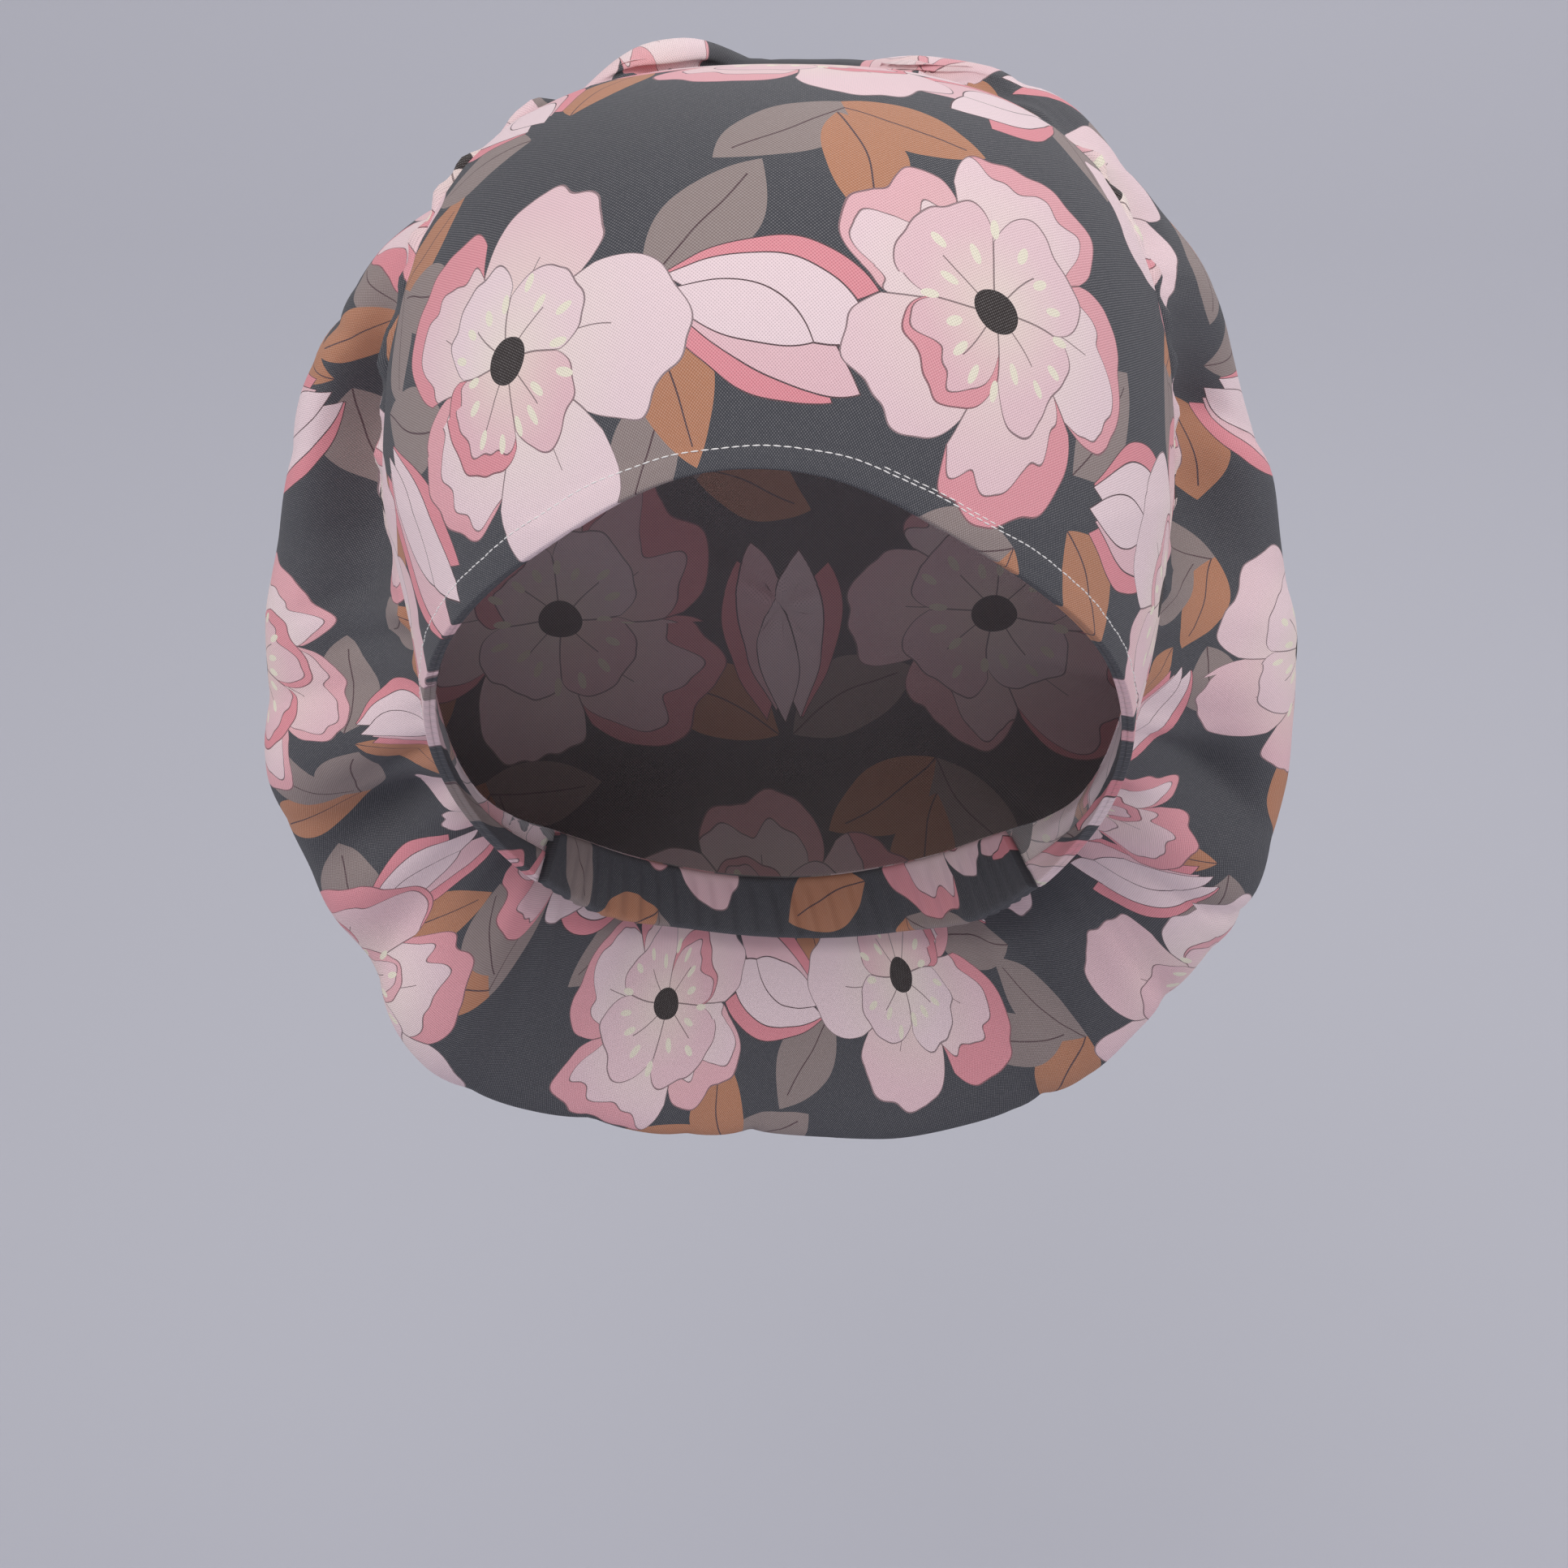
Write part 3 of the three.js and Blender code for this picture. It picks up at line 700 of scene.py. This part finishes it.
# %% Wrap a socket
class Wire:
    def __init__(self, tree, socket=None):
        self.tree = tree
        self.socket = socket

    def node(self, kind, settings, sockets, output=0):
        node = self.tree.nodes.new(kind)
        for name, value in settings.items():
            setattr(node, name, value)
        for name, value in sockets.items():
            if isinstance(value, Wire):
                self.tree.links.new(value.socket, node.inputs[name])
            else:
                node.inputs[name].default_value = value
        return Wire(self.tree, node.outputs[output])

    def math(self, operation, first, second=0.0):
        return self.node("ShaderNodeMath", {"operation": operation}, {0: first, 1: second})

    def __add__(self, other):
        return self.math("ADD", self, other)

    def __radd__(self, other):
        return self.math("ADD", other, self)

    def __sub__(self, other):
        return self.math("SUBTRACT", self, other)

    def __rsub__(self, other):
        return self.math("SUBTRACT", other, self)

    def __mul__(self, other):
        return self.math("MULTIPLY", self, other)

    def __rmul__(self, other):
        return self.math("MULTIPLY", other, self)

    def __truediv__(self, other):
        return self.math("DIVIDE", self, other)

    def __rtruediv__(self, other):
        return self.math("DIVIDE", other, self)

    def __pow__(self, other):
        return self.math("POWER", self, other)

    def __abs__(self):
        return self.math("ABSOLUTE", self)

    def __lt__(self, other):
        return self.math("LESS_THAN", self, other)

    def __gt__(self, other):
        return self.math("GREATER_THAN", self, other)

    def floor(self):
        return self.math("FLOOR", self)

    def sine(self):
        return self.math("SINE", self)

    def most(self, other):
        return self.math("MAXIMUM", self, other)

    def vector(self, x, y, z=0.0):
        return self.node("ShaderNodeCombineXYZ", {}, {0: x, 1: y, 2: z})

    def parts(self):
        split = self.node("ShaderNodeSeparateXYZ", {}, {0: self}).socket.node
        return [Wire(self.tree, socket) for socket in split.outputs]

    def paint(self, below, above, share):
        return self.node("ShaderNodeMix", {"data_type": "RGBA"}, {0: share, 6: below, 7: above}, 2)

    def chance(self, x, y, z):
        noise = self.node(
            "ShaderNodeTexWhiteNoise", {"noise_dimensions": "3D"}, {"Vector": self.vector(x, y, z)}, 1
        )
        return noise.parts()


def colour(red, green, blue):
    linear = [(v / 255) ** 2.2 for v in (red, green, blue)]
    return (*linear, 1.0)


print("sum class ready")

# %% [markdown]
# ## The floral print
# The print is a generic one: large open blossoms, closed buds and leaves on charcoal. Space is cut into
# a brick pattern of cells, and each cell holds one blossom, turned and placed by a random draw of its
# own. The posies of buds and leaves sit on the same bricks shifted by half, so they fill the gaps.
# Every shape is a test on two distances, in millimetres of flat cloth.

# %% Name the colours and sizes of the print
CHARCOAL = colour(72, 73, 79)
INK = colour(92, 70, 74)
PALE_PINK = colour(246, 220, 225)
MID_PINK = colour(239, 195, 202)
CORAL = colour(234, 147, 157)
CREAM = colour(246, 237, 216)
SEED_DARK = colour(54, 47, 46)
TAN = colour(190, 131, 101)
TAUPE = colour(150, 134, 131)
CELL_WIDTH = 92.0
CELL_HEIGHT = 74.0
BLOSSOM_RADIUS = 36.0
STAMENS = 16
HAND_WANDER = 3.5
HAND_WAVE = 42.0
LINE = 0.34
FULL_TURN = 2 * math.pi
LEAF_CELLS = (31.0, 40.0, 23.0)
BUD_CELLS = (0.0, 8.0, 11.0)
BLOSSOM_DRIFT = (16.0, 8.0)
BUD_SHRINK = 1.3


# %% Draw the shapes
def cell_of(wire, x, y, shift_x, shift_y, seed):
    row = ((y + shift_y) / CELL_HEIGHT).floor()
    slide = row.math("FLOORED_MODULO", row, 2.0) * (0.5 * CELL_WIDTH)
    from_x = x + shift_x + slide
    column = (from_x / CELL_WIDTH).floor()
    at_x = from_x - (column + 0.5) * CELL_WIDTH
    at_y = y + shift_y - (row + 0.5) * CELL_HEIGHT
    return at_x, at_y, wire.chance(column, row, seed)


def turned_by(wire, x, y, angle):
    place = wire.vector(x, y)
    sockets = {"Vector": place, "Angle": angle}
    turned = wire.node("ShaderNodeVectorRotate", {"rotation_type": "Z_AXIS"}, sockets)
    return turned.parts()[:2]


def petal_ring(wire, polar, chance, radius, count, seed, below):
    reach, angle = polar
    sector = FULL_TURN / count
    start = chance * 7.0
    turn = (angle + reach * 0.008) / sector + start
    petal = (turn + 0.5).floor()
    across = (turn - petal) * 2.0
    wrapped = petal.math("FLOORED_MODULO", petal - start.floor(), float(count))
    size, tone, fold_chance = wire.chance(wrapped, start, seed)
    place = wire.vector(across * 1.5 + tone * 40.0, petal + size * 9.0)
    sockets = {"Vector": place, "Scale": 1.0, "Detail": 1.0}
    ruffle = wire.node("ShaderNodeTexNoise", {"noise_dimensions": "2D"}, sockets)
    off = abs(across)
    rim = radius * (0.80 + 0.24 * size) * (1.0 - 0.32 * off**4.0) + (ruffle - 0.5) * (0.30 * radius)
    fold = rim * (0.62 + 0.4 * ruffle) + across * (radius * 0.5 * (fold_chance - 0.75))
    turned_back = fold_chance > 0.5
    split = (1.0 - off) * reach < LINE / sector
    vein = (abs(across - 0.4 * (size - 0.5)) * reach < 0.5 * LINE) * (reach < 0.6 * rim)
    fold_line = (abs(reach - fold) < 0.5 * LINE) * turned_back
    lines = split.most(rim - reach < LINE).most(fold_line).most(vein)
    face = wire.paint(PALE_PINK, MID_PINK, tone)
    face = wire.paint(face, CREAM, (0.75 - reach / radius).most(0.0) * 0.8)
    face = wire.paint(face, CORAL, (reach > fold) * turned_back * (0.45 + 0.55 * size))
    face = wire.paint(face, INK, lines * 0.75)
    return wire.paint(below, face, reach < rim)


def blossom(wire, x, y, chance, below):
    reach = (x * x + y * y).math("SQRT", x * x + y * y)
    angle = x.math("ARCTAN2", y, x)
    face = petal_ring(wire, (reach, angle), chance, BLOSSOM_RADIUS, 5, 3.0, below)
    face = petal_ring(wire, (reach, angle), chance + 0.37, 0.58 * BLOSSOM_RADIUS, 4, 5.0, face)
    spoke = angle * (STAMENS / FULL_TURN) + chance * 5.0
    nearest = (spoke + 0.5).floor()
    off = (spoke - nearest) * reach * (FULL_TURN / STAMENS)
    sockets = {"Vector": wire.vector(nearest, chance)}
    far = wire.node("ShaderNodeTexWhiteNoise", {"noise_dimensions": "2D"}, sockets)
    place = reach - (9.0 + 6.5 * far)
    face = wire.paint(face, CREAM, off * off * 1.6 + place * place * 0.35 < 1.1)
    return wire.paint(face, SEED_DARK, x * x * 0.7 + y * y < 15.0)


def leaf(wire, x, y, half_length, half_width, fill, below):
    along = y / half_length
    square = along * along
    bent = abs(x - square * (0.22 * half_width))
    midrib = (bent < 0.5 * LINE) * (along < 0.75)
    face = wire.paint(fill, INK, midrib)
    return wire.paint(below, face, bent < half_width * (1.0 - square))


def bud_petal(wire, x, y, half_length, half_width, fill, below):
    along = y / half_length
    depth = half_width * (1.0 - along * along) - abs(x - along * (0.2 * half_width))
    face = wire.paint(fill, INK, depth < LINE)
    return wire.paint(below, face, depth > 0.0)


def bud(wire, x, y, below):
    spread = x / (0.75 + 0.012 * (y + 24.0))
    face = bud_petal(wire, abs(spread) - 8.5, y + 1.0, 23.0, 8.5, CORAL, below)
    face = bud_petal(wire, spread - 4.5, y - 3.0, 25.0, 8.0, MID_PINK, face)
    face = bud_petal(wire, spread + 4.5, y - 1.0, 25.0, 8.0, PALE_PINK, face)
    return bud_petal(wire, spread - 1.0, y + 6.0, 19.0, 6.5, PALE_PINK, face)


def floral_print(wire, spot):
    x, y, _ = spot.parts()
    sockets = {"Vector": spot, "Scale": HAND_WAVE, "Detail": 1.0}
    wave = wire.node("ShaderNodeTexNoise", {"noise_dimensions": "2D"}, sockets, 1)
    wave_x, wave_y, _ = wave.parts()
    x = x * 1000.0 + wave_x * HAND_WANDER
    y = y * 1000.0 + wave_y * HAND_WANDER
    half = 0.5 * CELL_WIDTH
    shift_x, shift_y, seed = LEAF_CELLS
    at_x, at_y, (a, b, c) = cell_of(wire, x, y, half + shift_x, shift_y, seed)
    px, py = turned_by(wire, at_x, at_y, a * FULL_TURN)
    lx, ly = turned_by(wire, abs(px) - 9.0, py - 2.0, 0.8 + b * 0.4)
    face = leaf(wire, lx, ly, 14.0, 7.5, wire.paint(TAN, TAUPE, px > 0.0), CHARCOAL)
    face = leaf(wire, px, py - 12.0, 14.0, 7.0, wire.paint(TAUPE, TAN, c > 0.5), face)
    shift_x, shift_y, seed = BUD_CELLS
    at_x, at_y, (a, b, _) = cell_of(wire, x, y, half + shift_x, shift_y, seed)
    px, py = turned_by(wire, at_x, at_y, a * FULL_TURN)
    lx, ly = turned_by(wire, abs(px) - 14.0, py + 10.0, 0.7 + b * 0.4)
    face = leaf(wire, lx, ly, 15.0, 8.0, wire.paint(TAUPE, TAN, px > 0.0), face)
    face = bud(wire, px * BUD_SHRINK, py * BUD_SHRINK - 4.0, face)
    at_x, at_y, (a, b, c) = cell_of(wire, x, y, 0.0, 0.0, 1.0)
    drift_x, drift_y = BLOSSOM_DRIFT
    return blossom(wire, at_x + (a - 0.5) * drift_x, at_y + (b - 0.5) * drift_y, c, face)


# %% [markdown]
# ## Cloth materials
# Plain-woven cotton at this distance shows its threads as a fine check. Its colour is painted lighter on
# the thread crowns, partly as pale flecks of bare cotton where the ink didn't reach and partly as a
# painted highlight, and painted darker in the hollows between threads, which is painted shade. It has no
# gloss, only a faint sheen from its fuzz. The reverse is the same cloth with the print showing through.

# %% Make the cloth materials
THREAD = 0.62
# How much the thread crowns are lightened: part bare cotton, part painted highlight
BARE_AND_HIGHLIGHT_LEAST = 0.16
BARE_AND_HIGHLIGHT_MORE = 0.12
# How much the hollows between threads are darkened with painted shade
PAINTED_SHADE_DEPTH = 0.40
WEAVE_BUMP = 0.1 * MM
# Pale cotton for real bare flecks, the paler reverse and the painted highlight on thread crowns
BARE_COTTON_AND_HIGHLIGHT = colour(226, 220, 220)
# Painted shade laid into the hollows between threads
PAINTED_HOLLOW_SHADE = colour(30, 28, 32)


def cloth_material(name, fade):
    material = bpy.data.materials.new(name)
    material.use_nodes = True
    tree = material.node_tree
    shader = tree.nodes["Principled BSDF"]
    wire = Wire(tree)
    spot = wire.node("ShaderNodeUVMap", {"uv_map": "pattern"}, {})
    across, along, _ = spot.parts()
    x, y = across * (1000.0 / THREAD), along * (1000.0 / THREAD)
    weave = (x * FULL_TURN).sine() * (y * FULL_TURN).sine()
    fleck = wire.node(
        "ShaderNodeTexWhiteNoise",
        {"noise_dimensions": "2D"},
        {"Vector": wire.vector((x * 2.0).floor(), (y * 2.0).floor())},
    )
    drawn = floral_print(wire, spot)
    high = weave * 0.5 + 0.5
    # Thread crowns painted lighter: bare cotton flecks and the paler reverse, plus a painted highlight
    bare_and_painted_highlight = high**3.0 * (BARE_AND_HIGHLIGHT_LEAST + BARE_AND_HIGHLIGHT_MORE * fleck) + fade
    face = wire.paint(drawn, BARE_COTTON_AND_HIGHLIGHT, bare_and_painted_highlight)
    # Hollows between threads painted darker: painted shade
    face = wire.paint(face, PAINTED_HOLLOW_SHADE, (1.0 - high) ** 3.0 * PAINTED_SHADE_DEPTH)
    tree.links.new(face.socket, shader.inputs["Base Color"])
    sockets = {"Strength": 0.5, "Distance": WEAVE_BUMP, "Height": weave}
    bump = wire.node("ShaderNodeBump", {}, sockets)
    tree.links.new(bump.socket, shader.inputs["Normal"])
    shader.inputs["Roughness"].default_value = 0.88
    shader.inputs["Specular IOR Level"].default_value = 0.2
    shader.inputs["Sheen Weight"].default_value = 0.06
    shader.inputs["Sheen Roughness"].default_value = 0.5
    return material


printed = cloth_material("printed_cotton", 0.0)
reverse = cloth_material("cotton_reverse", 0.30)
for piece in (front_panel, back_pouch):
    piece.data.materials.append(printed)
    piece.data.materials.append(reverse)
for piece in (brow_hem, nape_casing):
    piece.data.materials.append(printed)
    piece.data.materials.append(printed)
print(len(printed.node_tree.nodes), "nodes in the print")

# %% [markdown]
# ## Stitches
# The hem is held by one row of small machine stitches in white thread, with a short second row beside
# it where it was sewn over again. A curve marks each row, and Geometry Nodes lay a stitch at every step
# along it.

# %% Build the stitch tree
THREAD_RADIUS = 0.12 * MM
STITCH_SHARE = 0.82
STITCH_SIZES = {"Pitch": STITCH_PITCH, "Thread radius": THREAD_RADIUS, "Stitch share": STITCH_SHARE}
STITCH_TILT = 0.05


def stitch_tree(material):
    tree = bpy.data.node_groups.new("Stitches", "GeometryNodeTree")
    tree.interface.new_socket("Geometry", in_out="INPUT", socket_type="NodeSocketGeometry")
    for name, value in STITCH_SIZES.items():
        socket = tree.interface.new_socket(name, in_out="INPUT", socket_type="NodeSocketFloat")
        socket.default_value = value
    tree.interface.new_socket("Geometry", in_out="OUTPUT", socket_type="NodeSocketGeometry")
    start = tree.nodes.new("NodeGroupInput")
    pitch, radius, share = (Wire(tree, start.outputs[k]) for k in (1, 2, 3))
    wire = Wire(tree)
    line = wire.node("GeometryNodeMeshToCurve", {}, {0: Wire(tree, start.outputs[0])})
    spots = wire.node("GeometryNodeCurveToPoints", {"mode": "LENGTH"}, {"Curve": line, "Length": pitch})
    turn = Wire(tree, spots.socket.node.outputs["Rotation"])
    stitch = wire.node("GeometryNodeMeshUVSphere", {}, {"Segments": 10, "Rings": 8, "Radius": 1.0})
    length = pitch * share * 0.5
    wobble = wire.node(
        "FunctionNodeRandomValue",
        {"data_type": "FLOAT_VECTOR"},
        {0: (-STITCH_TILT,) * 3, 1: (STITCH_TILT,) * 3, "Seed": 4},
    )
    turned = wire.node("FunctionNodeRotateRotation", {}, {0: turn, 1: wobble})
    size = wire.vector(radius * 1.25, radius, length)
    placed = wire.node(
        "GeometryNodeInstanceOnPoints",
        {},
        {"Points": spots, "Instance": stitch, "Rotation": turned, "Scale": size},
    )
    real = wire.node("GeometryNodeRealizeInstances", {}, {0: placed})
    smooth = wire.node("GeometryNodeSetShadeSmooth", {}, {0: real})
    done = wire.node("GeometryNodeSetMaterial", {}, {"Geometry": smooth, "Material": material})
    end = tree.nodes.new("NodeGroupOutput")
    tree.links.new(done.socket, end.inputs[0])
    return tree


thread = bpy.data.materials.new("thread")
thread.use_nodes = True
thread_shader = thread.node_tree.nodes["Principled BSDF"]
thread_shader.inputs["Base Color"].default_value = colour(238, 234, 232)
thread_shader.inputs["Roughness"].default_value = 0.6
thread_shader.inputs["Sheen Weight"].default_value = 0.2

# %% Lay the stitches
# first rib, last rib, height above the hem
STITCH_ROWS = ((-10.6, 10.6, STITCH_HEIGHT), (1.7, 3.2, STITCH_HEIGHT + 0.8 * MM))
GUIDE_POINTS_PER_RIB = 60
points, edges = [], []
for low, high, height in STITCH_ROWS:
    rib = np.linspace(low, high, int(GUIDE_POINTS_PER_RIB * (high - low)))
    wander = 0.25 * MM * np.sin(1.9 * rib) + 0.12 * MM * np.sin(5.3 * rib + 1)
    row, normals = panel_places(rib, height + wander)
    first = len(points)
    points += list(row + normals * (0.45 * THREAD_RADIUS))
    edges += [(first + k, first + k + 1) for k in range(len(rib) - 1)]
line = bpy.data.meshes.new("stitch line")
line.from_pydata(points, edges, [])
guide = bpy.data.objects.new("stitch line", line)
bpy.context.scene.collection.objects.link(guide)
tree = stitch_tree(thread)
modifier = guide.modifiers.new("Stitches", "NODES")
modifier.node_group = tree
for item in tree.interface.items_tree:
    if item.in_out == "INPUT" and item.name in STITCH_SIZES:
        modifier[item.identifier] = STITCH_SIZES[item.name]
bpy.context.view_layer.update()
seen = guide.evaluated_get(bpy.context.evaluated_depsgraph_get())
stitches = bpy.data.objects.new("hem_stitches", bpy.data.meshes.new_from_object(seen))
bpy.context.scene.collection.objects.link(stitches)
bpy.data.objects.remove(guide)
print("stitches", len(stitches.data.polygons), "faces")

# %% [markdown]
# ## Hang each piece on the root
# Each cloth piece and the stitches hang from one root empty, and the solid parts that each piece
# stands for are hidden.

BACK_NODES = ("pouch_crown", "pouch_left", "pouch_right", "pouch_foot", "pouch_back")
for piece, nodes, finish in (
    (front_panel, ("front_panel",), "printed_cotton"),
    (back_pouch, BACK_NODES, "printed_cotton"),
    (brow_hem, ("brow_hem",), "printed_cotton"),
    (nape_casing, ("nape_casing",), "casing_cotton"),
):
    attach(piece, "root")
    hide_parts(*nodes)
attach(stitches, "root")

# %% [markdown]
# ## Stage and light
# A plain grey-blue sweep stands behind and below the cap. The main light is soft and comes from the
# front and above, with a wide one from each side and one from behind, so the folds show and no shadow
# is hard.

# %% Set the sweep
FLOOR_DROP = -0.62
SWEEP_RADIUS = 0.6
SWEEP_BACK = 1.2
SWEEP_FRONT = -3.0
SWEEP_TOP = 3.0
SWEEP_SIDE = 12.0
SWEEP_STEPS = 16
profile = [(SWEEP_FRONT, FLOOR_DROP), (SWEEP_BACK - SWEEP_RADIUS, FLOOR_DROP)]
for step in range(1, SWEEP_STEPS + 1):
    angle = math.radians(90 * step / SWEEP_STEPS)
    out = SWEEP_RADIUS * math.sin(angle)
    up = SWEEP_RADIUS * (1 - math.cos(angle))
    profile.append((SWEEP_BACK - SWEEP_RADIUS + out, FLOOR_DROP + up))
profile.append((SWEEP_BACK, SWEEP_TOP))
corners = [(side * SWEEP_SIDE, y, z) for y, z in profile for side in (-1, 1)]
faces = [(2 * k, 2 * k + 1, 2 * k + 3, 2 * k + 2) for k in range(len(profile) - 1)]
sweep_mesh = bpy.data.meshes.new("sweep")
sweep_mesh.from_pydata(corners, [], faces)
sweep_mesh.polygons.foreach_set("use_smooth", [True] * len(faces))
sweep = bpy.data.objects.new("sweep", sweep_mesh)
bpy.context.scene.collection.objects.link(sweep)
paper = bpy.data.materials.new("paper")
paper.use_nodes = True
paper_shader = paper.node_tree.nodes["Principled BSDF"]
paper_shader.inputs["Base Color"].default_value = colour(188, 188, 197)
paper_shader.inputs["Roughness"].default_value = 0.9
paper_shader.inputs["Specular IOR Level"].default_value = 0.1
sweep.data.materials.append(paper)
print("sweep", len(faces), "faces")

# %% Set the lights
LIGHT_WIDTH = 1.0
LIGHT_AIM = Vector((0, 0.03, -0.1))
# name, place in metres, power in watts
LIGHTS = (
    ("key", (-0.3, -1.5, 0.9), 13),
    ("left side", (-1.5, -0.6, 0.5), 8),
    ("right side", (1.5, -0.6, 0.5), 11),
    ("back", (0.3, 0.9, 1.1), 8),
)
for name, place, power in LIGHTS:
    lamp = bpy.data.lights.new(name, "AREA")
    lamp.shape = "DISK"
    lamp.size = LIGHT_WIDTH
    lamp.energy = power
    light = bpy.data.objects.new(name, lamp)
    bpy.context.scene.collection.objects.link(light)
    light.location = place
    aim = LIGHT_AIM - Vector(place)
    light.rotation_euler = aim.to_track_quat("-Z", "Y").to_euler()
world = bpy.data.worlds.new("studio")
world.use_nodes = True
world.node_tree.nodes["Background"].inputs["Color"].default_value = (0.98, 0.98, 1.0, 1)
world.node_tree.nodes["Background"].inputs["Strength"].default_value = 0.38
bpy.context.scene.world = world
print(len(LIGHTS), "lights")
